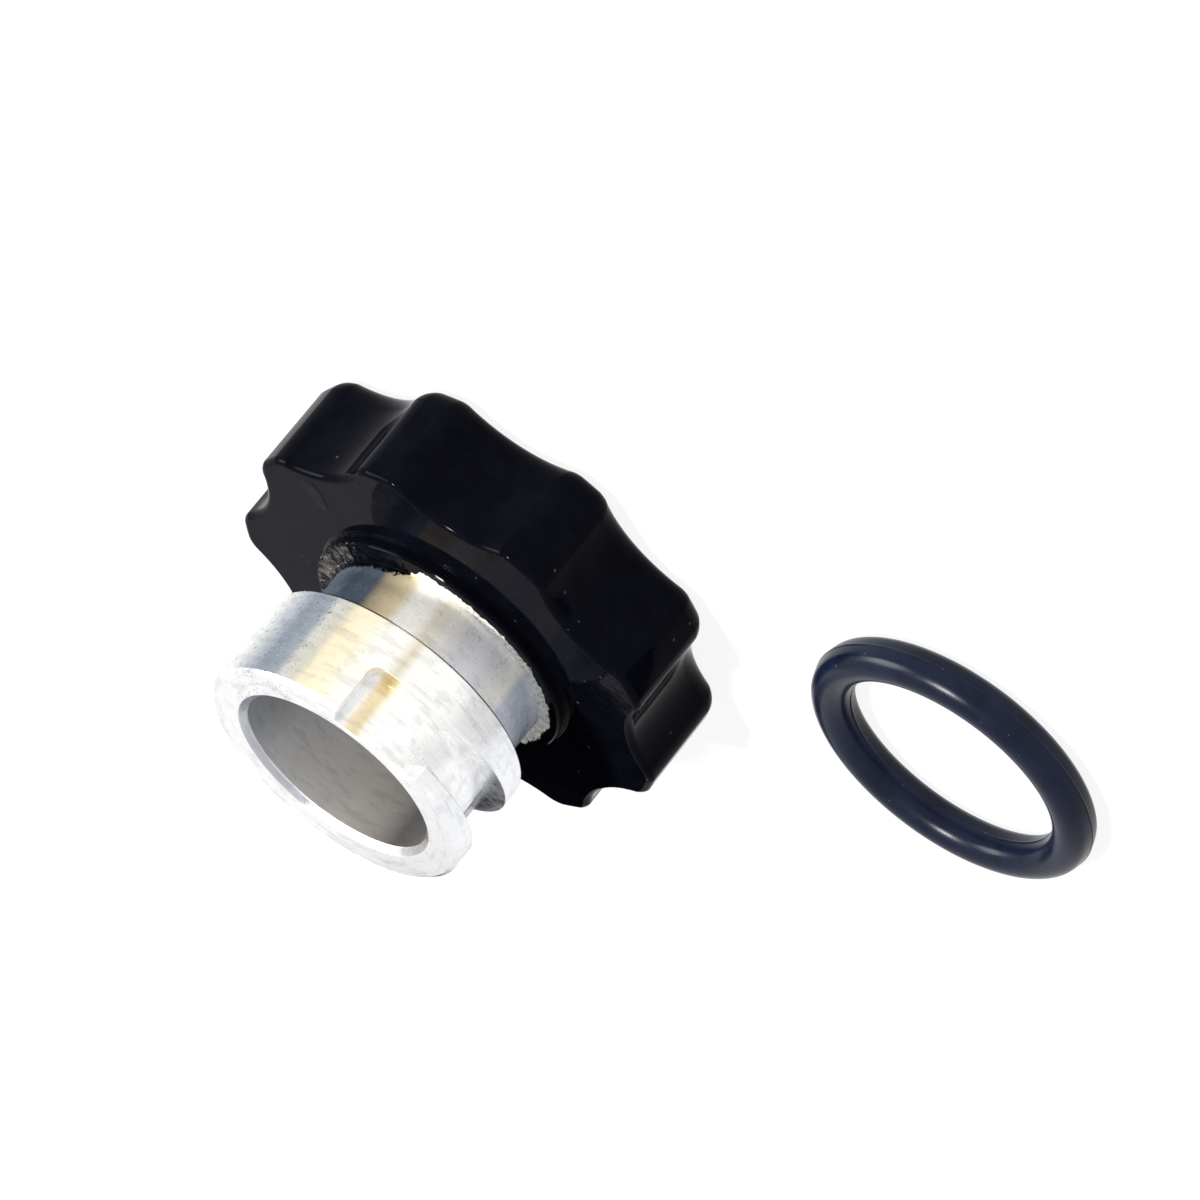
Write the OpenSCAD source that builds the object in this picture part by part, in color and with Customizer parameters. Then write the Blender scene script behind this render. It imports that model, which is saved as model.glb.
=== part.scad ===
// Oil filler cap with a turned spigot, a fluted hand grip and a loose seal ring.
// Millimetres. The cap stands on its head: the flat face of the grip lies on z = 0 and
// the spigot points up +Z. +X goes through the middle of the entry slot.

/* [Grip] */
// Diameter of the grip over its ridges
grip_d = 67.6; // [60:0.2:80]
// Thickness of the grip
grip_t = 16.8; // [12:0.1:24]
// Number of ridges, with as many flutes between them
ridges = 9; // [6:1:10]
// Depth of a flute below the ridges
flute_depth = 3.6; // [2.5:0.1:5]
// Radius of the cutter that leaves a flute
flute_r = 15.7; // [13:0.1:17]
// Rounding where a ridge turns into a flute
corner_r = 4.5; // [4:0.1:5]
// Rounding of the grip's edge towards the spigot
near_edge_r = 1; // [0.5:0.1:2]
// Rounding of the grip's edge towards its flat face
far_edge_r = 3.8; // [1:0.1:3.9]
// Angle from the middle of the entry slot to the nearest ridge, degrees
ridge_turn = 1.5; // [0:0.1:40]

/* [Spigot] */
// Outer diameter of the spigot, which enters the filler neck
spigot_d = 40; // [36:0.1:46]
// Length of the spigot's collar, from its end face to the seal groove
collar_h = 14.75; // [13:0.05:20]
// Diameter at the bottom of the seal groove
neck_d = 32.8; // [31:0.1:34]
// Width of the seal groove
neck_h = 8.65; // [6:0.05:12]
// Break of the end face's outer edge
end_chamfer = 0.6; // [0.2:0.1:1]
// Break of the collar's rear edge
rear_chamfer = 0.3; // [0.1:0.05:0.6]

/* [Root] */
// Diameter of the raised seat that the seal ring is pressed against
seat_d = 39.5; // [37:0.1:46]
// Height of the seat above the grip
seat_h = 1.9; // [1:0.1:4]
// Break of the seat's outer edge
seat_chamfer = 0.25; // [0.1:0.05:0.6]
// Width of the step round the foot of the seat
foot_step = 0.3; // [0.1:0.05:1]
// Height of the step round the foot of the seat
foot_h = 0.25; // [0.1:0.05:0.6]

/* [Bore] */
// Diameter of the blind bore in the spigot
bore_d = 29.1; // [24:0.1:30]
// Depth of the bore from the spigot's end face
bore_depth = 30; // [16:0.5:35]
// Break of the bore's mouth
mouth_chamfer = 0.9; // [0.3:0.1:1.2]

/* [Cam track] */
// Depth of the entry slot and of the cam track below the spigot's outer face
track_depth = 3.6; // [2:0.1:4]
// Width of the entry slot as an angle, degrees
entry_angle = 39.8; // [30:0.1:50]
// Length of the entry slot from the end face
entry_len = 8.4; // [7:0.1:9.5]
// Radius of the round corner inside the entry slot
entry_corner_r = 1.6; // [0.8:0.1:2.5]
// Angle from the middle of the entry slot to the blind end of the track, degrees
track_end = 114.4; // [95:0.1:140]
// Angle from the middle of the entry slot to the middle of the ramp, degrees
ramp_mid = 64.4; // [55:0.1:75]
// Distance of the ramp's rear wall from the end face, at the middle of the ramp
rear_mid = 10.75; // [9:0.05:11]
// Climb of the rear wall a quarter turn past the middle, at the outer face
rear_climb = 2.6; // [1:0.1:3]
// Distance of the ramp's front wall from the end face, at the middle of the ramp
front_mid = 3.4; // [2.8:0.05:5]
// Climb of the front wall a quarter turn past the middle, at the outer face
front_climb = 1.6; // [0.5:0.1:2]

/* [Seal ring] */
// Inner diameter of the loose seal ring
seal_inner_d = 31; // [27:0.1:32.5]
// Thickness of the ring's round section
seal_section = 5.7; // [3.5:0.1:6]
// Distance of the loose ring's centre from the cap's axis
seal_away = 73; // [65:1:120]
// Direction of the loose ring from the cap, degrees from +X
seal_dir = -50; // [-180:0.5:180]

/* [Hidden] */
$fn = 96;
grip_r = grip_d / 2;
spigot_r = spigot_d / 2;
seat_r = seat_d / 2;
neck_r = neck_d / 2;
bore_r = bore_d / 2;
seat_z = grip_t + seat_h;
collar_z = seat_z + neck_h;
end_z = collar_z + collar_h;
bore_z = end_z - bore_depth;
track_r = spigot_r - track_depth;
pitch = 360 / ridges;
flute_at = grip_r - flute_depth + flute_r;
// Clear length by which a cutter runs past the face that it cuts
past = 2;
// Angle by which the ramp reaches into the entry slot, degrees
ramp_lap = 1;

// A rounding of radius r has its centre in_from(r) inside both faces that it joins, so it
// crosses them at a shallow angle instead of only touching them.
cross_angle = 8;
function in_from(r) = r * cos(cross_angle);
near_in = in_from(near_edge_r);
far_in = in_from(far_edge_r);
corner_in = in_from(corner_r);
// The pin that a ridge's corner is rounded to stands inside both the ridge and the flute
pin_at = grip_r - corner_in;
pin_off = flute_r + corner_in;
// Directions from the pin to the ridge's face and to the flute's face
ridge_dir = acos((pow(flute_at, 2) + pow(pin_at, 2) - pow(pin_off, 2)) / (2 * flute_at * pin_at));
pin = pin_at * [cos(ridge_dir), sin(ridge_dir)];
flute_dir = -asin(pin[1] / pin_off);

// What comes off a revolved profile's corner so that the corner is left round
module corner_off(r) {
    difference() {
        square(r + 3 * past);
        circle(r);
    }
}

// A round body with the edge roundings of the grip, which runs on past both of its faces
module round_edged(r, on) {
    rotate_extrude()
        difference() {
            translate([0, -on])
                square([r, grip_t + 2 * on]);
            translate([r - near_in, grip_t - near_in])
                corner_off(near_edge_r);
            translate([r - far_in, far_in])
                mirror([0, 1])
                    corner_off(far_edge_r);
        }
}

// A flute's cutter flares at both ends, so the flute's own edges come out round
module flute_cutter() {
    translate([flute_at, 0, 0])
        rotate_extrude()
            difference() {
                union() {
                    translate([0, -past])
                        square([flute_r, grip_t + 2 * past]);
                    translate([0, -past])
                        square([flute_r + far_in, past + far_in]);
                    translate([0, grip_t - near_in])
                        square([flute_r + near_in, near_in + past]);
                }
                translate([flute_r + far_in, far_in])
                    circle(far_edge_r);
                translate([flute_r + near_in, grip_t - near_in])
                    circle(near_edge_r);
            }
}

// Takes the sharp tip off one ridge corner and leaves it as round as a round-edged pin
module corner_cutter() {
    reach = 2 * corner_r;
    translate([pin[0], pin[1], 0])
        difference() {
            translate([0, 0, -past])
                linear_extrude(height = grip_t + 2 * past)
                    polygon([
                        [0, 0],
                        reach * [cos(flute_dir), sin(flute_dir)],
                        reach * [cos(ridge_dir), sin(ridge_dir)]
                    ]);
            round_edged(corner_r, 2 * past);
        }
}

// Every third flute: the cutters of one set don't meet each other
module flute_set(first) {
    for (i = [first : 3 : ridges - 1])
        rotate([0, 0, ridge_turn + (i + 0.5) * pitch])
            flute_cutter();
}

// The two ridge corners beside every third flute
module corner_set(first) {
    for (i = [first : 3 : ridges - 1])
        rotate([0, 0, ridge_turn + (i + 0.5) * pitch]) {
            corner_cutter();
            mirror([0, 1, 0])
                corner_cutter();
        }
}

// The blank with its flutes cut, while the ridge corners are still sharp
module fluted_blank() {
    difference() {
        difference() {
            difference() {
                round_edged(grip_r, 0);
                flute_set(0);
            }
            flute_set(1);
        }
        flute_set(2);
    }
}

module grip() {
    difference() {
        difference() {
            difference() {
                fluted_blank();
                corner_set(0);
            }
            corner_set(1);
        }
        corner_set(2);
    }
}

// Foot, seat, seal groove and collar, turned in one
module spigot_blank() {
    rotate_extrude()
        polygon([
            [0, grip_t - past],
            [seat_r + foot_step, grip_t - past],
            [seat_r + foot_step, grip_t + foot_h],
            [seat_r, grip_t + foot_h],
            [seat_r, seat_z - seat_chamfer],
            [seat_r - seat_chamfer, seat_z],
            [neck_r, seat_z],
            [neck_r, collar_z],
            [spigot_r - rear_chamfer, collar_z],
            [spigot_r, collar_z + rear_chamfer],
            [spigot_r, end_z - end_chamfer],
            [spigot_r - end_chamfer, end_z],
            [0, end_z]
        ]);
}

module bore_cutter() {
    translate([0, 0, bore_z])
        cylinder(r = bore_r, h = bore_depth + past);
    translate([0, 0, end_z - mouth_chamfer])
        cylinder(r1 = bore_r, r2 = bore_r + mouth_chamfer + past, h = mouth_chamfer + past);
}

// A wedge about the axis, from angle a0 to angle a1 and from height z0 up past the end
module wedge(a0, a1, z0) {
    rotate([0, 0, a0])
        rotate_extrude(angle = a1 - a0)
            translate([0, z0])
                square([spigot_r + past, end_z + past - z0]);
}

// Everything above a plane that climbs across the ramp
module above_ramp(mid, climb) {
    rotate([0, 0, -ramp_mid])
        translate([0, 0, end_z - mid])
            rotate([atan(climb / spigot_r), 0, 0])
                translate([-spigot_d, -spigot_d, 0])
                    cube(2 * spigot_d);
}

// The entry slot runs in from the end face, with one round inner corner
module entry_cutter() {
    round_in = in_from(entry_corner_r);
    corner_turn = entry_angle / 2 - asin(round_in / spigot_r);
    wedge(-entry_angle / 2, corner_turn, end_z - entry_len);
    rotate([0, 0, corner_turn])
        rotate([90, 0, 90])
            linear_extrude(height = spigot_r + past)
                translate([0, end_z - entry_len + round_in]) {
                    circle(entry_corner_r);
                    translate([-round_in, 0])
                        square([2 * round_in, entry_len + past]);
                }
}

// The ramp starts just inside the entry slot and ends blind
module ramp_cutter() {
    difference() {
        intersection() {
            wedge(-track_end, ramp_lap - entry_angle / 2, grip_t);
            above_ramp(rear_mid, rear_climb);
        }
        above_ramp(front_mid, front_climb);
    }
}

// Bayonet track that draws the cap down as it is turned
module track_cutter() {
    difference() {
        union() {
            entry_cutter();
            ramp_cutter();
        }
        cylinder(r = track_r, h = end_z + 2 * past);
    }
}

module cap_body() {
    color([0.16, 0.17, 0.2])
        difference() {
            union() {
                grip();
                spigot_blank();
            }
            bore_cutter();
            track_cutter();
        }
}

module seal_ring() {
    color([0.08, 0.08, 0.1])
        translate([seal_away * cos(seal_dir), seal_away * sin(seal_dir), seal_section / 2])
            rotate_extrude()
                translate([(seal_inner_d + seal_section) / 2, 0])
                    circle(d = seal_section);
}

cap_body();
seal_ring();
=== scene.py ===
# %% [markdown]
# A bayonet oil filler cap, dressed for the camera. The cap is one piece of aluminium, turned
# on a lathe and then milled. Its grip wears a gloss black coat, and its spigot is bare metal.
# A rubber seal ring lies beside it.
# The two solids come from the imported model, so nothing here moves or resizes them.

# %% Load the solids
import math
import bpy
from mathutils import Matrix, Vector


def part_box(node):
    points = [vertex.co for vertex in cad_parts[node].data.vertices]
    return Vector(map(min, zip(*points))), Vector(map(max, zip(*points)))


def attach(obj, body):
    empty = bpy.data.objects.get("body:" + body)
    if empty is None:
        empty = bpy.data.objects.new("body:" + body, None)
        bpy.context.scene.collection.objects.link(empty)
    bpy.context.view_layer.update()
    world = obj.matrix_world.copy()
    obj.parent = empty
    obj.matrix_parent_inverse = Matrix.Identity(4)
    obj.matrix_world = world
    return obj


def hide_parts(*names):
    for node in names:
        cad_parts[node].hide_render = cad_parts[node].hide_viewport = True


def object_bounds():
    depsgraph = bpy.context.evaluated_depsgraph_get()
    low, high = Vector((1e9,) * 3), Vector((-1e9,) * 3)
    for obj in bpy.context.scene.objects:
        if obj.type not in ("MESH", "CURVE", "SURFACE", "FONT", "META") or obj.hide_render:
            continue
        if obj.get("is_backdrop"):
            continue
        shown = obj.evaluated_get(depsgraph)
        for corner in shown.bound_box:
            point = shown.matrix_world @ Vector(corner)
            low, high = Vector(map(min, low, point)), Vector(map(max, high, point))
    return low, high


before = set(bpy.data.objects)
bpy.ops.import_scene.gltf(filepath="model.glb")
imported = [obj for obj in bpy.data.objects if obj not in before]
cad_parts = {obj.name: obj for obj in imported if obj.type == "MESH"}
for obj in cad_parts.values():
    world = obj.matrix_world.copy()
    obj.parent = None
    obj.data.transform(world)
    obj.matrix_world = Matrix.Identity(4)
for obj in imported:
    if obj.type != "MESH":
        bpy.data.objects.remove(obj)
solid_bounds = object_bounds()
MM = 0.001
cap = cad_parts["cap_body"]
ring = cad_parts["seal_ring"]
print("cap", len(cap.data.polygons), "faces; ring", len(ring.data.polygons), "faces")

# %% [markdown]
# The photographer looked down into the spigot's open end from the side of its entry slot, and
# the cap lay on its side. The cap could be laid down in the same way, but a part is easier to
# reuse when it stands square. So it stands on its grip, and the camera is rolled until the
# spigot points to the lower left, as in the photograph.

# %% Camera
camera_at = Vector((733.5, 68.9, 321.8)) * MM
camera_aim = Vector((17.34, -11.08, 5.49)) * MM
camera_roll = math.radians(141.386)


def in_scene(name, data):
    made = bpy.data.objects.new(name, data)
    bpy.context.scene.collection.objects.link(made)
    return made


lens = bpy.data.cameras.new("camera")
lens.lens = 180
lens.sensor_width = 36
lens.clip_start = 0.01
camera = in_scene("camera", lens)
level = (camera_aim - camera_at).to_track_quat("-Z", "Y").to_matrix().to_4x4()
roll = Matrix.Rotation(-camera_roll, 4, "Z")
camera.matrix_world = Matrix.Translation(camera_at) @ level @ roll
bpy.context.scene.camera = camera
print("camera distance", round((camera_aim - camera_at).length, 3), "m")

# %% [markdown]
# Every material below is a graph of nodes. Written out in full, each node takes a line for
# itself, one for each setting and one for each link. A few helpers keep the graphs short: one
# makes an empty material, one adds a node with its settings and inputs in a single call, and
# the others do sums. An input can be a plain value or the output of another node.

# %% Helpers for node graphs


def blank_material(name):
    made = bpy.data.materials.new(name)
    made.use_nodes = True
    made.node_tree.nodes.clear()
    return made


def plug(tree, socket, value):
    if isinstance(value, bpy.types.NodeSocket):
        tree.links.new(value, socket)
    else:
        socket.default_value = value


def add(tree, kind, settings=None, **inputs):
    node = tree.nodes.new(kind)
    for key, value in (settings or {}).items():
        setattr(node, key, value)
    for key, value in inputs.items():
        # i0, i1 and so on give an input's number, and any other key is its name
        numbered = key[0] == "i" and key[1:].isdigit()
        plug(tree, node.inputs[int(key[1:]) if numbered else key.replace("_", " ")], value)
    return node


def maths(tree, operation, a, b=0.0, c=0.0):
    return add(tree, "ShaderNodeMath", {"operation": operation}, i0=a, i1=b, i2=c).outputs[0]


def times(tree, product, *others):
    for value in others:
        product = maths(tree, "MULTIPLY", product, value)
    return product


def weighted(tree, total, *pairs):
    # The first number, plus each pair's value times its weight
    for value, weight in pairs:
        total = maths(tree, "MULTIPLY_ADD", value, weight, total)
    return total


def vector_maths(tree, operation, a, **others):
    return add(tree, "ShaderNodeVectorMath", {"operation": operation}, i0=a, **others).outputs


def object_mm(tree):
    # Where a point lies on its own object, in millimetres
    metres = add(tree, "ShaderNodeTexCoord").outputs["Object"]
    return vector_maths(tree, "SCALE", metres, Scale=1 / MM)["Vector"]


print("helpers: blank_material, plug, add, maths, times, weighted, vector_maths, object_mm")

# %% [markdown]
# Masks say where a finish lies, as a share from 0 to 1. They could be painted on an image, but
# a mask that is worked out from height, radius and noise follows the real sizes and stays sharp
# at any distance. A fade turns a measured value into such a share with a soft edge. Where its
# low limit is the larger one, it runs the other way: 1 below and 0 above.

# %% Helpers for masks and colours


def fade(tree, value, low, high, to_low=0.0, to_high=1.0):
    return add(tree, "ShaderNodeMapRange", {"interpolation_type": "SMOOTHSTEP"}, Value=value,
               From_Min=low, From_Max=high, To_Min=to_low, To_Max=to_high).outputs[0]


def window(tree, value, low, high, soft):
    # 1 between low and high, 0 outside, with soft edges
    rise = fade(tree, value, low - soft, low + soft)
    fall = fade(tree, value, high - soft, high + soft, 1.0, 0.0)
    return times(tree, rise, fall)


def noise(tree, vector, scale, detail=3.0, roughness=0.55):
    return add(tree, "ShaderNodeTexNoise", Vector=vector, Scale=scale,
               Detail=detail, Roughness=roughness).outputs["Fac"]


def blend_colours(tree, share, a, b):
    # Inputs 0, 6 and 7 are the share and the two colours
    return add(tree, "ShaderNodeMix", {"data_type": "RGBA"}, i0=share, i6=a, i7=b).outputs[2]


def tone(red, green, blue):
    # A colour given as it shows on a screen, from 0 to 255, turned into linear light
    curve_foot, curve_power = 0.055, 2.4
    shares = [(part / 255 + curve_foot) / (1 + curve_foot) for part in (red, green, blue)]
    return tuple(share ** curve_power for share in shares) + (1,)


def ramp(tree, value, stops):
    node = add(tree, "ShaderNodeValToRGB", Fac=value)
    points = node.color_ramp.elements
    while len(points) < len(stops):
        points.new(1.0)
    for point, (position, colour) in zip(points, stops):
        point.position = position
        point.color = colour
    return node.outputs["Color"]


print("a mid grey on the screen is", round(tone(128, 128, 128)[0], 3), "in linear light")

# %% [markdown]
# The photograph has a white background without a shadow to speak of. More lamps would whiten
# the floor, but they would bleach the cap as well. So the floor is white paper, and part of its
# white is added for the eye alone and for mirror-like reflections. The rest is lit by the
# lamps, so the soft shadow under each piece stays.

# %% Floor
floor_half = 2.5
# The floor stays a hair below the grip's flat face, so the two never flicker in one plane
floor_gap = 0.02 * MM
added_white = 0.9
WHITE = (1, 1, 1, 1)


def board(name, corners):
    mesh = bpy.data.meshes.new(name)
    mesh.from_pydata(corners, [], [(0, 1, 2, 3)])
    return in_scene(name, mesh)


def seen_share(tree):
    # 1 for rays from the eye, off a mirror or through glass, and 0 for those that bring light
    ray = add(tree, "ShaderNodeLightPath").outputs
    seen = maths(tree, "MAXIMUM", ray["Is Camera Ray"], ray["Is Glossy Ray"])
    return maths(tree, "MAXIMUM", seen, ray["Is Transmission Ray"])


def mix_shaders(tree, share, first, second):
    return add(tree, "ShaderNodeMixShader", i0=share, i1=first.outputs[0],
               i2=second.outputs[0]).outputs[0]


floor_corners = [(-1, -1), (1, -1), (1, 1), (-1, 1)]
floor = board("floor", [(x * floor_half, y * floor_half, -floor_gap) for x, y in floor_corners])
floor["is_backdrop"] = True
paper = blank_material("paper")
tree = paper.node_tree
lit = add(tree, "ShaderNodeBsdfDiffuse", Color=(0.93, 0.93, 0.93, 1))
white = add(tree, "ShaderNodeEmission", Color=WHITE, Strength=1.0)
white_share = times(tree, seen_share(tree), added_white)
add(tree, "ShaderNodeOutputMaterial", Surface=mix_shaders(tree, white_share, lit, white))
floor.data.materials.append(paper)
print("floor", 2 * floor_half, "m wide,", floor_gap / MM, "mm below the flat face")

# %% [markdown]
# Soft light from all round comes from the world, which the eye and mirrors see as plain white.
# One small bright lamp high on the left of the picture stands for the sun, and leaves the hard
# glints along the rounded edges. A softbox lower on the same side fills the spigot's flank.

# %% Light
world = bpy.data.worlds.new("studio")
bpy.context.scene.world = world
world.use_nodes = True
tree = world.node_tree
tree.nodes.clear()
soft_sky = add(tree, "ShaderNodeBackground", Color=(0.93, 0.96, 1.0, 1), Strength=0.65)
white_sky = add(tree, "ShaderNodeBackground", Color=WHITE, Strength=1.0)
sky = mix_shaders(tree, seen_share(tree), soft_sky, white_sky)
add(tree, "ShaderNodeOutputWorld", Surface=sky)


def lamp(name, azimuth, elevation, distance, size, power, colour=(1, 1, 1)):
    light = bpy.data.lights.new(name, "AREA")
    light.shape = "DISK"
    light.size = size
    light.energy = power
    light.color = colour
    a = math.radians(azimuth)
    e = math.radians(elevation)
    away = Vector((math.cos(a) * math.cos(e), math.sin(a) * math.cos(e), math.sin(e)))
    made = in_scene(name, light)
    made.location = away * distance
    made.rotation_euler = (-away).to_track_quat("-Z", "Y").to_euler()
    print("lamp", name, "gives", power, "W from", distance, "m")


lamp("sun", azimuth=55, elevation=62, distance=1.2, size=0.10, power=18, colour=(1.0, 0.97, 0.92))
lamp("left_softbox", azimuth=100, elevation=35, distance=1.0, size=0.5, power=9)

# %% [markdown]
# A black flag is a dark board that a photographer stands beside a glossy thing. It stands
# behind the cap, where only mirror-like rays meet it, and it darkens the underside of the
# grip on the right of the picture. Darker paint would darken the left part too, and that part
# still shows the sky.

# %% Black flag
flag_x = -100
flag_outline = [(-62, 8), (-8, 8), (-24, 70), (-62, 70)]
velvet_colour = (0.004, 0.004, 0.006, 1)
flag = board("black_flag", [(flag_x * MM, y * MM, z * MM) for y, z in flag_outline])
flag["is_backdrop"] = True
for kind_of_ray in ("visible_camera", "visible_diffuse", "visible_shadow",
                    "visible_transmission"):
    setattr(flag, kind_of_ray, False)
velvet = blank_material("black velvet")
cloth = add(velvet.node_tree, "ShaderNodeBsdfDiffuse", Color=velvet_colour)
add(velvet.node_tree, "ShaderNodeOutputMaterial", Surface=cloth.outputs[0])
flag.data.materials.append(velvet)
print("flag", round(flag.dimensions.y, 3), "by", round(flag.dimensions.z, 3), "m")

# %% [markdown]
# Dust, small pits and a fine grain are on everything that has lain in a workshop. Each material
# could have its own copy of them. They are one shader group instead, which the coat, the bare
# metal and the rubber all use with their own sizes, so one change reaches all three.

# %% Shader group: dust and grain
clean_cells = 0.84
speck_rim = 1.6


def new_group(name, inputs, outputs):
    # Every input and output is a plain number
    group = bpy.data.node_groups.new(name, "ShaderNodeTree")
    number = "NodeSocketFloat"
    for given_name, value in inputs.items():
        socket = group.interface.new_socket(given_name, in_out="INPUT", socket_type=number)
        socket.default_value = value
    for result_name in outputs:
        group.interface.new_socket(result_name, in_out="OUTPUT", socket_type=number)
    given = group.nodes.new("NodeGroupInput").outputs
    return group, given, group.nodes.new("NodeGroupOutput").inputs


def use_group(tree, group, **values):
    node = add(tree, "ShaderNodeGroup", {"node_tree": group}, **values)
    return node.outputs


dusty, given, result = new_group(
    "dust and grain",
    {"Grain per mm": 4.0, "Specks per mm": 0.9, "Speck size": 0.08},
    ["Grain", "Specks"])
spot = object_mm(dusty)
grain = add(dusty, "ShaderNodeTexNoise", Vector=spot, Scale=given["Grain per mm"], Detail=2.0)
plug(dusty, result["Grain"], grain.outputs["Fac"])
# Each cell of this pattern could hold one speck, and most of them stay clean
cells = add(dusty, "ShaderNodeTexVoronoi", Vector=spot, Scale=given["Specks per mm"]).outputs
lot = add(dusty, "ShaderNodeSeparateColor", Color=cells["Color"]).outputs[0]
few = maths(dusty, "GREATER_THAN", lot, clean_cells)
wide = times(dusty, given["Speck size"], speck_rim)
dot = fade(dusty, cells["Distance"], given["Speck size"], wide, 1.0, 0.0)
plug(dusty, result["Specks"], times(dusty, dot, few))
print("group", dusty.name, "has", len(dusty.nodes), "nodes")

# %% [markdown]
# Lathe tools leave fine rings on whatever they cut. On a tube they run round it at each
# height, and on a flat end they run round it at each radius, so one coordinate, height plus
# radius, serves both. Plain waves would look like a screw thread. Noise that is stretched
# along the rings makes some of them deeper than others, as a real tool does.

# %% Where a point lies on the cap
coated = blank_material("coated aluminium")
tree = coated.node_tree
place = object_mm(tree)
parts = add(tree, "ShaderNodeSeparateXYZ", Vector=place).outputs
height = parts[2]
flat = add(tree, "ShaderNodeCombineXYZ", X=parts[0], Y=parts[1]).outputs[0]
radius = vector_maths(tree, "LENGTH", flat)["Value"]
direction = vector_maths(tree, "NORMALIZE", flat)["Vector"]
along_cut = maths(tree, "ADD", radius, height)
# The angle round the cap, as a share of a whole turn that starts at -180 degrees
turn = weighted(tree, 0.5, (maths(tree, "ARCTAN2", parts[1], parts[0]), 0.5 / math.pi))


def at(degrees):
    # An angle from +X as such a share
    return (degrees + 180) / 360


print("the entry slot's middle is at", at(0), "of a turn")

# %% [markdown]
# Five patterns are enough for the whole cap: two kinds of rings, and noise in three sizes. The
# coat's edge, the blotches on the metal and the pits all read the same ones, so they belong
# together, as they do where one thing has caused another.

# %% Patterns on the cap
directions = add(tree, "ShaderNodeSeparateXYZ", Vector=direction).outputs


def stretched_rings(per_mm, unevenness):
    spot = add(tree, "ShaderNodeCombineXYZ", X=times(tree, along_cut, per_mm),
               Y=times(tree, directions[0], unevenness),
               Z=times(tree, directions[1], unevenness))
    return noise(tree, spot.outputs[0], 1.0)


fine_rings = stretched_rings(per_mm=6.0, unevenness=1.0)
broad_rings = stretched_rings(per_mm=0.9, unevenness=4.0)
blotches = noise(tree, place, 0.55, 4.0, 0.65)
crumbs = noise(tree, place, 1.9, 4.0, 0.7)
lumps = noise(tree, place, 0.42, 3.0, 0.6)
print("patterns take", len(tree.nodes), "nodes")

# %% [markdown]
# The coat was sprayed on after turning, with the spigot masked off. It covers the grip and
# the seat's rim, and it ends on the seat's face in a ragged line. On one side it ran under
# the mask: there it is thick and lumpy, climbs the neck and has flaked off in places. A second
# solid for the paint would be thinner than a hair, so the coat is a mask on the metal.

# %% Mask: where the coat lies
grip_height = 16.8
seat_height = 18.7
seat_radius = 19.75
bore_floor = 12.1
neck_radius = 16.4
# Radius of the paint's edge on the seat, and how far noise and the lumpy side move it
paint_edge = 16.15
edge_sway = 2.4
edge_fray = 1.5
close_creep = 2.4
lumpy_creep = 1.2
lumpy_angle = math.radians(98)
lumpy_way = (math.cos(lumpy_angle), math.sin(lumpy_angle), 0)
# The cosine of the angle to the lumpy side's middle: 1 there, and 0 a quarter turn away
lumpy_side = vector_maths(tree, "DOT_PRODUCT", direction, i1=lumpy_way)["Value"]
lumpy = fade(tree, lumpy_side, 0.80, 0.93)
close_side = fade(tree, lumpy_side, 0.35, 0.62)
edge_radius = weighted(tree, paint_edge, (blotches, edge_sway), (crumbs, edge_fray),
                       (close_side, -close_creep), (lumpy, -lumpy_creep))
outside_edge = fade(tree, maths(tree, "SUBTRACT", radius, edge_radius), -0.05, 0.05)
below_seat = fade(tree, height, seat_height + 0.2, seat_height + 0.15)
# No paint reached the bore, so what lies inside the neck is left out
off_bore = fade(tree, radius, neck_radius - 0.4, neck_radius - 0.3)
on_seat = times(tree, outside_edge, below_seat, off_bore)
climb = times(tree, close_side, weighted(tree, lumps, (crumbs, 2.6)))
climb_top = maths(tree, "ADD", climb, seat_height - 0.9)
under_top = fade(tree, maths(tree, "SUBTRACT", climb_top, height), 0.0, 0.08)
on_neck = times(tree, under_top, off_bore, fade(tree, close_side, 0.0, 0.1))
on_grip = fade(tree, height, bore_floor - 0.5, bore_floor - 0.6)
coat = maths(tree, "MAXIMUM", maths(tree, "MAXIMUM", on_seat, on_neck), on_grip)
flaking = window(tree, height, seat_height - 1.6, seat_height + 1.5, 0.1)
flakes = times(tree, fade(tree, crumbs, 0.64, 0.68), flaking, lumpy)
coat = times(tree, coat, maths(tree, "SUBTRACT", 1.0, flakes))
edge_middle = paint_edge + (edge_sway + edge_fray) / 2
print("the coat ends near radius", round(edge_middle, 2), "mm, away from the lumpy side")

# %% [markdown]
# Bare aluminium is never one grey, as it mirrors what lies round it. Its bright, straw, blue and
# dark bands round the spigot are painted reflections, highlights and shade. Noise would scatter
# them anywhere, but on a real cap they sit in bands, so each face of the spigot gets a ramp of a
# few painted tints over the angle.

# %% Painted reflections and shade on the bare metal


def painted_reflections_round(*stops):
    # Each stop is an angle from +X in degrees, and a colour as it shows on a screen
    return ramp(tree, turn, [(at(angle), tone(*colour)) for angle, *colour in stops])


# Each ramp is painted reflection, highlight and shade round one face of the spigot
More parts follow.
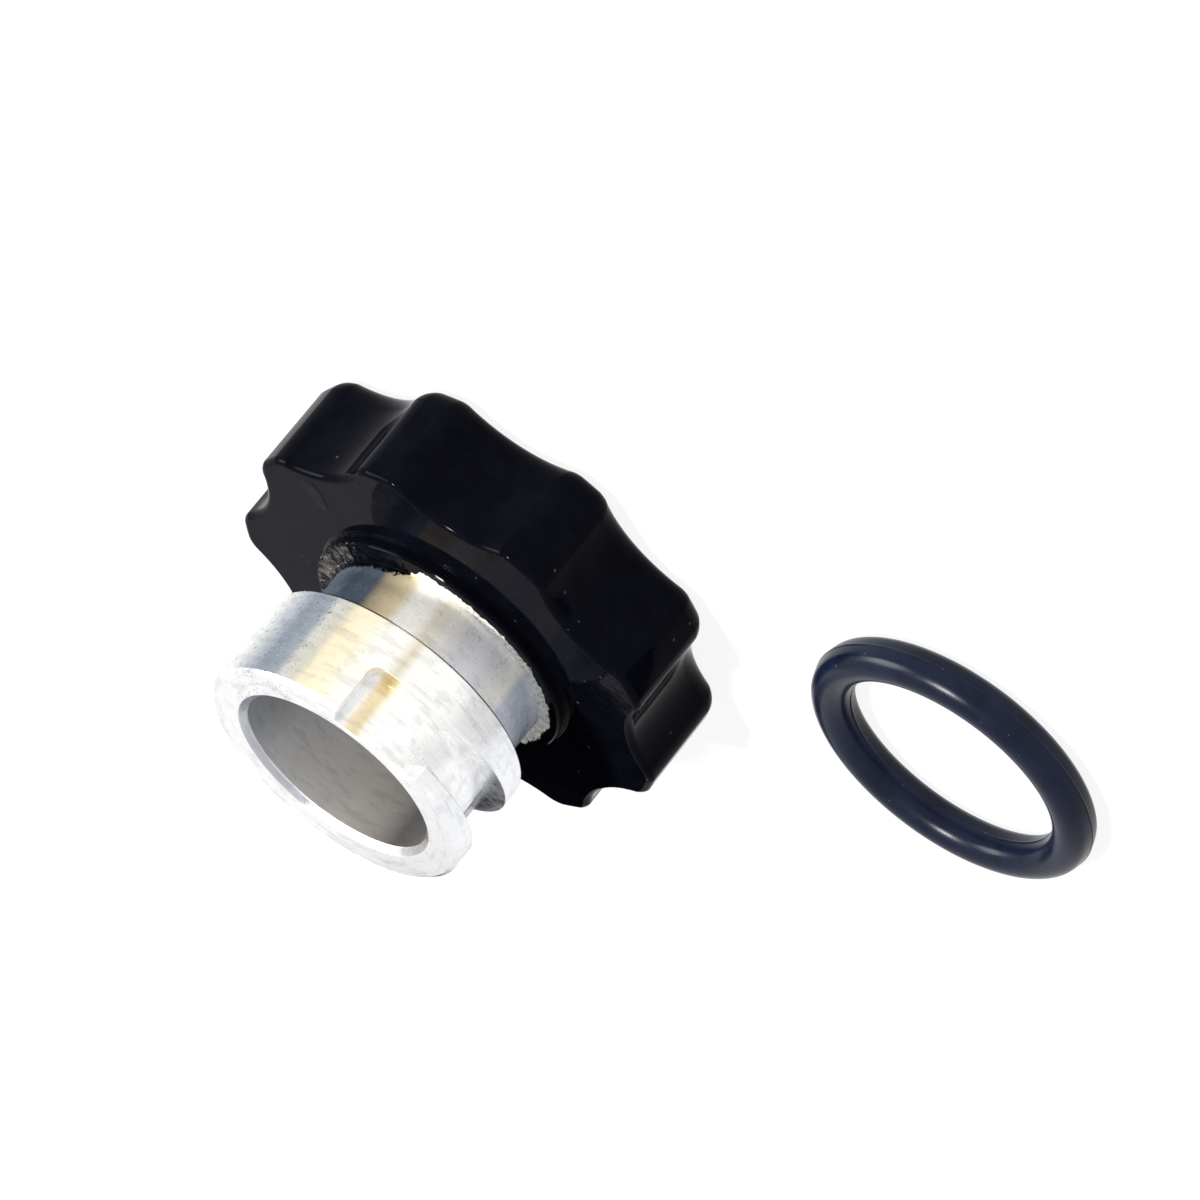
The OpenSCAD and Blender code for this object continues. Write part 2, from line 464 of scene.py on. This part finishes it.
collar_painted_reflection = painted_reflections_round(
    (-180, 208, 209, 212), (-100, 208, 209, 212), (-60, 246, 247, 250), (-37, 240, 242, 246),
    (-30, 253, 253, 254), (7, 254, 252, 247), (11, 226, 218, 192), (16, 254, 252, 247),
    (24, 255, 253, 244), (31, 255, 245, 216), (39, 248, 236, 204), (42, 214, 212, 196),
    (48, 212, 212, 206), (51, 160, 168, 176), (60, 142, 152, 164), (68, 188, 194, 200),
    (80, 240, 240, 238), (110, 244, 244, 243), (135, 208, 209, 212), (180, 208, 209, 212))
neck_painted_reflection = painted_reflections_round(
    (-180, 170, 172, 178), (-80, 130, 138, 152), (-50, 196, 202, 214), (-38, 206, 210, 220),
    (-34, 250, 246, 238), (-20, 232, 232, 236), (-4, 218, 217, 222), (6, 238, 235, 228),
    (14, 226, 220, 204), (19, 252, 250, 244), (28, 254, 252, 244), (33, 222, 206, 172),
    (46, 160, 146, 120), (50, 78, 88, 100), (66, 58, 72, 90), (80, 98, 106, 118),
    (180, 160, 162, 168))
slot_painted_reflection = painted_reflections_round(
    (-180, 150, 152, 158), (-95, 170, 174, 182), (-72, 236, 238, 241), (-50, 250, 250, 251),
    (-30, 253, 253, 253), (6, 253, 252, 249), (8.5, 246, 240, 220), (10.5, 230, 212, 170),
    (15, 240, 226, 194), (17, 248, 246, 240), (20, 244, 245, 247), (180, 150, 152, 158))
bore_painted_reflection = painted_reflections_round(
    (-180, 246, 243, 238), (-155, 238, 233, 226), (-135, 196, 190, 184), (-120, 130, 127, 125),
    (100, 170, 178, 188), (128, 192, 199, 208), (150, 238, 240, 242), (180, 246, 243, 238))
# Painted shade round the bore's broken mouth, its tone changing round the turn
mouth_painted_shade = painted_reflections_round(
    (-180, 176, 178, 184), (-120, 214, 214, 216), (-70, 134, 116, 98), (-20, 150, 142, 134),
    (40, 196, 198, 204), (180, 176, 178, 184))
print("tints: collar, neck, slot, bore and mouth, each over one turn")

# %% [markdown]
# Masks pick the face that a tint belongs to: the slot and the track, the groove's neck, the
# seat, the bore and the end face. The faces could be separate materials, but the solid is one
# mesh that isn't cut up, and its sizes are known, so height and radius tell them apart.

# %% Faces of the bare metal
end_height = 42.1
collar_height = 27.35
collar_radius = 20
bore_radius = 14.55
below_skin = fade(tree, radius, collar_radius - 0.6, collar_radius - 0.7)
in_slot = times(tree, below_skin, fade(tree, height, end_height - 0.1, end_height - 0.2))
under_collar = fade(tree, height, collar_height, collar_height - 0.1)
at_seat = fade(tree, height, seat_height + 0.1, seat_height + 0.05)
on_seat_face = times(tree, at_seat, fade(tree, radius, neck_radius, neck_radius + 0.2))
in_bore = fade(tree, radius, bore_radius + 0.15, bore_radius + 0.05)
out_of_bore = maths(tree, "SUBTRACT", 1.0, in_bore)
end_face = fade(tree, height, end_height - 0.04, end_height - 0.02)
seat_tint = ramp(tree, crumbs, [
    (0.36, tone(150, 148, 140)), (0.46, tone(226, 223, 212)), (0.62, tone(248, 247, 242))])
end_tint = ramp(tree, blotches, [
    (0.3, tone(240, 241, 243)), (0.5, tone(249, 249, 250)), (0.7, tone(253, 253, 253))])
# The face masks lay each face's painted reflections, and the seat's and end's own tints, on the
# metal
metal = collar_painted_reflection
for face, tint in ((in_slot, slot_painted_reflection), (under_collar, neck_painted_reflection), (on_seat_face, seat_tint),
                   (in_bore, bore_painted_reflection), (end_face, end_tint)):
    metal = blend_colours(tree, face, metal, tint)
print("bare metal from", seat_height, "to", end_height, "mm")

# %% [markdown]
# A lathe hand breaks every sharp edge. The thin slopes that this leaves face another way than
# the faces beside them and catch less light. The solid has them, but its plain finish would
# hide them, so painted shade darkens the bore's mouth and the collar's rear edge a little.

# %% Painted shade on the broken edges
mouth_break = 0.9
mouth_line = bore_radius + end_height
mouth_edge = times(
    tree, window(tree, along_cut, mouth_line - mouth_break, mouth_line + mouth_break - 0.05, 0.04),
    fade(tree, radius, bore_radius + 0.95, bore_radius + 0.85),
    fade(tree, height, end_height - 1.0, end_height - 0.9))
# Painted shade on the bore's broken mouth
metal = blend_colours(tree, times(tree, mouth_edge, 0.7), metal, mouth_painted_shade)
rear_break = window(tree, height, collar_height - 0.02, collar_height + 0.26, 0.03)
rear_edge = times(tree, rear_break, fade(tree, radius, collar_radius - 0.6, collar_radius - 0.5))
# A thin line of painted shade along the collar's rear edge
metal = blend_colours(tree, times(tree, rear_edge, 0.85), metal, tone(62, 62, 68))
print("mouth broken by", mouth_break, "mm")

# %% [markdown]
# Wear and tooling go over the tints: faint darker rings from the tool, dull blotches, and
# pits that gather on the side of the collar where the raw bar's skin was left. They are small
# steps in colour and roughness, as deep marks would need a finer mesh than the eye can see.
# The bore is the cleanest face, so it keeps no pits and no blotches.

# %% Marks on the bare metal
rough_from = 44
rough_to = 92
rough_side = window(tree, turn, at(rough_from), at(rough_to), 0.012)
specks = use_group(tree, dusty, Grain_per_mm=3.2, Specks_per_mm=1.5, Speck_size=0.13)["Specks"]
lone_pits = times(tree, specks, weighted(tree, 0.1, (rough_side, 0.6)))
crowded_pits = times(tree, fade(tree, crumbs, 0.57, 0.64), rough_side, 0.55)
pits = times(tree, maths(tree, "MAXIMUM", crowded_pits, lone_pits), out_of_bore)
broad_shade = fade(tree, broad_rings, 0.34, 0.50, 0.16, 0.0)
fine_shade = fade(tree, fine_rings, 0.30, 0.46, 0.10, 0.0)
blotch_shade = times(tree, fade(tree, blotches, 0.52, 0.66, 0.0, 0.14), out_of_bore)
for mark, shade in ((pits, tone(70, 70, 68)), (broad_shade, tone(96, 96, 100)),
                    (fine_shade, tone(84, 84, 90)), (blotch_shade, tone(150, 146, 138))):
    metal = blend_colours(tree, mark, metal, shade)
metal_rough = fade(tree, blotches, 0.3, 0.7, 0.24, 0.38)
metal_rough = maths(tree, "MAXIMUM", metal_rough, times(tree, in_bore, 0.5))
print("pits crowd between", rough_from, "and", rough_to, "degrees from the slot's middle")

# %% [markdown]
# The coat is a deep blue-black gloss. It is a little wavy, as paint that has flowed, and dust
# has dried into it. A flat black would look like plastic. Fine rings of the turned seat show
# through it, and where it ran under the mask its tops are scuffed grey.

# %% The coat
ring_pitch = 0.42
peel = noise(tree, place, 0.32, 2.0, 0.5)
flank = times(tree, window(tree, height, seat_height - 1.6, seat_height - 0.2, 0.05),
              window(tree, radius, seat_radius - 0.75, seat_radius + 0.45, 0.1))
flank_rings = times(tree, maths(tree, "SINE", times(tree, height, 2 * math.pi / ring_pitch)),
                    flank)
dust = use_group(tree, dusty, Grain_per_mm=2.4, Specks_per_mm=0.45, Speck_size=0.07)
coat_colour = blend_colours(tree, fade(tree, peel, 0.35, 0.65),
                            (0.0013, 0.0015, 0.0030, 1), (0.0019, 0.0022, 0.0044, 1))
dusting = times(tree, dust["Specks"], 0.2)
coat_colour = blend_colours(tree, dusting, coat_colour, tone(110, 112, 118))
run_under = times(tree, lumpy,
                  window(tree, radius, neck_radius + 0.5, seat_radius - 0.45, 0.3))
scuffs = times(tree, fade(tree, lumps, 0.50, 0.64, 0.0, 0.3), run_under)
coat_colour = blend_colours(tree, scuffs, coat_colour, tone(126, 118, 111))
grain_rough = fade(tree, dust["Grain"], 0.3, 0.7, 0.045, 0.085)
coat_rough = maths(tree, "ADD", dusting, grain_rough)
print("the seat's rings are", ring_pitch, "mm apart")

# %% [markdown]
# One fine scratch crosses the underside of the grip, from a flute towards the seat. It is
# slightly bowed, so its middle line is a parabola over the straight line between its ends.
# It is cut slanting: one steep side faces the light, and the paint rises gently behind it.
# A thin groove in the mesh would need many faces, so the scratch is a height for the bump.

# %% Mask: the scratch
scratch_start = Vector((10.4, 28.0, 0))
scratch_end = Vector((6.0, 23.0, 0))
scratch_bow = 0.75
half_width = 0.11
burr_width = 3.0
scratch_length = (scratch_end - scratch_start).length
scratch_way = (scratch_end - scratch_start).normalized()
scratch_side = scratch_way.cross(Vector((0, 0, 1)))
offset = vector_maths(tree, "SUBTRACT", flat, i1=scratch_start)["Vector"]
along = vector_maths(tree, "DOT_PRODUCT", offset, i1=scratch_way)["Value"]
across = vector_maths(tree, "DOT_PRODUCT", offset, i1=scratch_side)["Value"]
# -1 at the scratch's start, 0 at its middle and 1 at its end
share = weighted(tree, -1.0, (along, 2 / scratch_length))
bow = weighted(tree, scratch_bow, (times(tree, share, share), -scratch_bow))
from_line = maths(tree, "ADD", across, bow)
scratch = times(
    tree, fade(tree, from_line, -half_width, half_width),
    fade(tree, from_line, half_width, burr_width, 1.0, 0.0),
    fade(tree, maths(tree, "ABSOLUTE", share), 0.4, 1.0, 1.0, 0.0),
    window(tree, height, grip_height - 0.1, grip_height + 0.1, 0.05))
print("scratch", round(scratch_length, 1), "mm long and", 2 * half_width, "mm wide")

# %% [markdown]
# A bump gives both finishes their relief. All its heights are in one unit, so the step at the
# edge of the coat is as high as the coat is thick, and the lumps at the root are many times
# higher. A rounded normal also softens the mesh's hard edges by a fifth of a millimetre. A
# bevel on the mesh would do that too, but the solid's own mesh stays as it is.

# %% Relief
relief_unit = 0.06 * MM
edge_rounding = 0.2 * MM
coat_thickness = 1.1
bare = maths(tree, "SUBTRACT", 1.0, coat)
metal_height = weighted(tree, 0.0, (broad_rings, 0.5), (fine_rings, 0.35), (pits, -1.1))
on_root = fade(tree, radius, seat_radius + 0.45, seat_radius + 0.05)
root_lumps = times(tree, lumpy, on_root, lumps)
coat_height = weighted(
    tree, coat_thickness, (dust["Grain"], 0.012), (peel, 0.5), (flank_rings, 0.7),
    (root_lumps, 22.0), (dust["Specks"], 0.35), (scratch, 2.4))
relief = weighted(tree, times(tree, metal_height, bare), (coat_height, coat))
bevel = add(tree, "ShaderNodeBevel", {"samples": 6}, Radius=edge_rounding)
bump = add(tree, "ShaderNodeBump", Strength=0.6, Distance=relief_unit, Height=relief,
           Normal=bevel.outputs[0])
print("one unit of relief is", relief_unit / MM, "mm")

# %% [markdown]
# One Principled shader wears both finishes, and the coat's mask blends every input. The metal
# at the bottom of the groove is duller than the rest, as no tool polished it and the seal ring
# rubbed on it, so it counts as less metallic. The coat mirrors little, which keeps it black.

# %% Coated aluminium
groove_metallic = 0.35
coat_specular = 0.02
in_groove = times(tree, under_collar,
                  fade(tree, radius, neck_radius - 0.2, neck_radius - 0.1))
shine = fade(tree, in_groove, 0.0, 1.0, 1.0, groove_metallic)
skin = add(tree, "ShaderNodeBsdfPrincipled",
           Base_Color=blend_colours(tree, coat, metal, coat_colour),
           Metallic=times(tree, bare, shine),
           Roughness=weighted(tree, times(tree, metal_rough, bare), (coat_rough, coat)),
           Specular_IOR_Level=coat_specular,
           Normal=bump.outputs[0])
add(tree, "ShaderNodeOutputMaterial", Surface=skin.outputs[0])
cap.data.materials.clear()
cap.data.materials.append(coated)
print("material", coated.name, "has", len(tree.nodes), "nodes")

# %% [markdown]
# The seal ring is moulded nitrile rubber, a deep navy-black with a satin skin. Its grain is
# fine, and a little dust lies on it. A plain black would lose the ring's blue, so two navy
# tones drift into each other, and the smoother places are the darker ones.

# %% Seal rubber
rubber = blank_material("seal rubber")
tree = rubber.node_tree
cloud = noise(tree, object_mm(tree), 0.22, 3.0, 0.6)
dust = use_group(tree, dusty, Grain_per_mm=7.0, Specks_per_mm=0.8, Speck_size=0.07)
rubber_colour = blend_colours(tree, fade(tree, cloud, 0.3, 0.7),
                              (0.0028, 0.0046, 0.0130, 1), (0.0048, 0.0076, 0.0210, 1))
dusting = times(tree, dust["Specks"], 0.25)
rubber_colour = blend_colours(tree, dusting, rubber_colour, tone(120, 124, 132))
relief = weighted(tree, 0.0, (cloud, 0.8), (dust["Grain"], 0.25))
bump = add(tree, "ShaderNodeBump", Strength=0.5, Distance=0.04 * MM, Height=relief)
skin = add(tree, "ShaderNodeBsdfPrincipled", Base_Color=rubber_colour,
           Roughness=fade(tree, cloud, 0.3, 0.7, 0.20, 0.28), Specular_IOR_Level=0.14,
           Normal=bump.outputs[0])
add(tree, "ShaderNodeOutputMaterial", Surface=skin.outputs[0])
print("material", rubber.name, "has", len(tree.nodes), "nodes")

# %% [markdown]
# A moulded ring has a parting line where the two halves of its mould met: a fine raised
# thread at its widest and at its narrowest place. The plain solid has none. A thread could be
# laid round it as a second piece, but on the real ring both are one skin, so the ring is made
# again by a rule. A grid is rolled up into a tube, and the tube into a ring. The skin sinks a
# little beside the line, and the line stays at full size, so the ring never grows.

# %% Geometry Nodes: a moulded ring
steps_round_ring = 192
steps_round_section = 160
line_height = 0.1 * MM


def moulded_ring_tree():
    tree = bpy.data.node_groups.new("moulded ring", "GeometryNodeTree")
    tree.is_modifier = True
    for name in ("Ring radius", "Section radius", "Line height", "Centre X", "Centre Y",
                 "Centre Z"):
        tree.interface.new_socket(name, in_out="INPUT", socket_type="NodeSocketFloat")
    tree.interface.new_socket("Material", in_out="INPUT", socket_type="NodeSocketMaterial")
    tree.interface.new_socket("Geometry", in_out="OUTPUT", socket_type="NodeSocketGeometry")
    given = tree.nodes.new("NodeGroupInput").outputs
    out = tree.nodes.new("NodeGroupOutput")
    grid = add(tree, "GeometryNodeMeshGrid", Size_X=1.0, Size_Y=1.0,
               Vertices_X=steps_round_ring + 1, Vertices_Y=steps_round_section + 1)
    spot = add(tree, "GeometryNodeInputPosition").outputs[0]
    spot = add(tree, "ShaderNodeSeparateXYZ", Vector=spot).outputs
    around = times(tree, spot[0], 2 * math.pi)
    section = times(tree, spot[1], 2 * math.pi)
    outward = maths(tree, "COSINE", section)
    upward = maths(tree, "SINE", section)
    near_line = fade(tree, maths(tree, "ABSOLUTE", outward), 0.80, 0.985)
    beside_line = fade(tree, maths(tree, "ABSOLUTE", upward), 0.02, 0.08)
    sunk = times(tree, near_line, beside_line, given["Line height"])
    thick = maths(tree, "SUBTRACT", given["Section radius"], sunk)
    reach = weighted(tree, given["Ring radius"], (outward, thick))
    x = weighted(tree, given["Centre X"], (maths(tree, "COSINE", around), reach))
    y = weighted(tree, given["Centre Y"], (maths(tree, "SINE", around), reach))
    z = weighted(tree, given["Centre Z"], (upward, thick))
    rolled = add(tree, "ShaderNodeCombineXYZ", X=x, Y=y, Z=z).outputs[0]
    made = add(tree, "GeometryNodeSetPosition", Geometry=grid.outputs["Mesh"], Position=rolled)
    made = add(tree, "GeometryNodeMergeByDistance", Geometry=made.outputs[0], Distance=1e-6)
    made = add(tree, "GeometryNodeSetShadeSmooth", Geometry=made.outputs[0])
    made = add(tree, "GeometryNodeRealizeInstances", Geometry=made.outputs[0])
    made = add(tree, "GeometryNodeSetMaterial", Geometry=made.outputs[0],
               Material=given["Material"])
    plug(tree, out.inputs["Geometry"], made.outputs[0])
    return tree


ring_tree = moulded_ring_tree()
print("tree", ring_tree.name, "has", len(ring_tree.nodes), "nodes")

# %% [markdown]
# The tree gets its sizes from the box round the solid ring, so the new ring fits it whatever
# its size is. An empty object carries the nodes for a moment, its result is taken as a plain
# mesh, and the nodes are let go.

# %% The ring from its sizes


def made_by_nodes(name, tree, values):
    piece = in_scene(name, bpy.data.meshes.new(name))
    modifier = piece.modifiers.new("nodes", "NODES")
    modifier.node_group = tree
    for item in tree.interface.items_tree:
        if item.in_out == "INPUT":
            modifier[item.identifier] = values[item.name]
    graph = bpy.context.evaluated_depsgraph_get()
    mesh = bpy.data.meshes.new_from_object(piece.evaluated_get(graph))
    piece.modifiers.clear()
    piece.data = mesh
    return piece


ring_low, ring_high = (Vector(corner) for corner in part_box("seal_ring"))
ring_middle = (ring_low + ring_high) / 2
section_radius = (ring_high.z - ring_low.z) / 2
ring_radius = (ring_high.x - ring_low.x) / 2 - section_radius
moulded = made_by_nodes("moulded_seal_ring", ring_tree, {
    "Ring radius": ring_radius, "Section radius": section_radius, "Line height": line_height,
    "Centre X": ring_middle.x, "Centre Y": ring_middle.y, "Centre Z": ring_middle.z,
    "Material": rubber})
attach(moulded, "root")
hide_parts("seal_ring")
print("ring", len(moulded.data.vertices), "points,", len(moulded.data.polygons), "faces")

# %% [markdown]
# The picture shows colours as they are written, without the look of a film. The boxes round
# the part before and after dressing are kept, to show that it hasn't grown.

# %% Finish
bpy.context.scene.view_settings.view_transform = "Standard"
sizes = {"before": [list(v) for v in solid_bounds], "after": [list(v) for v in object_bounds()]}
lowest, highest = sizes["after"]
print("dressed part:", [round((b - a) / MM, 2) for a, b in zip(lowest, highest)], "mm")
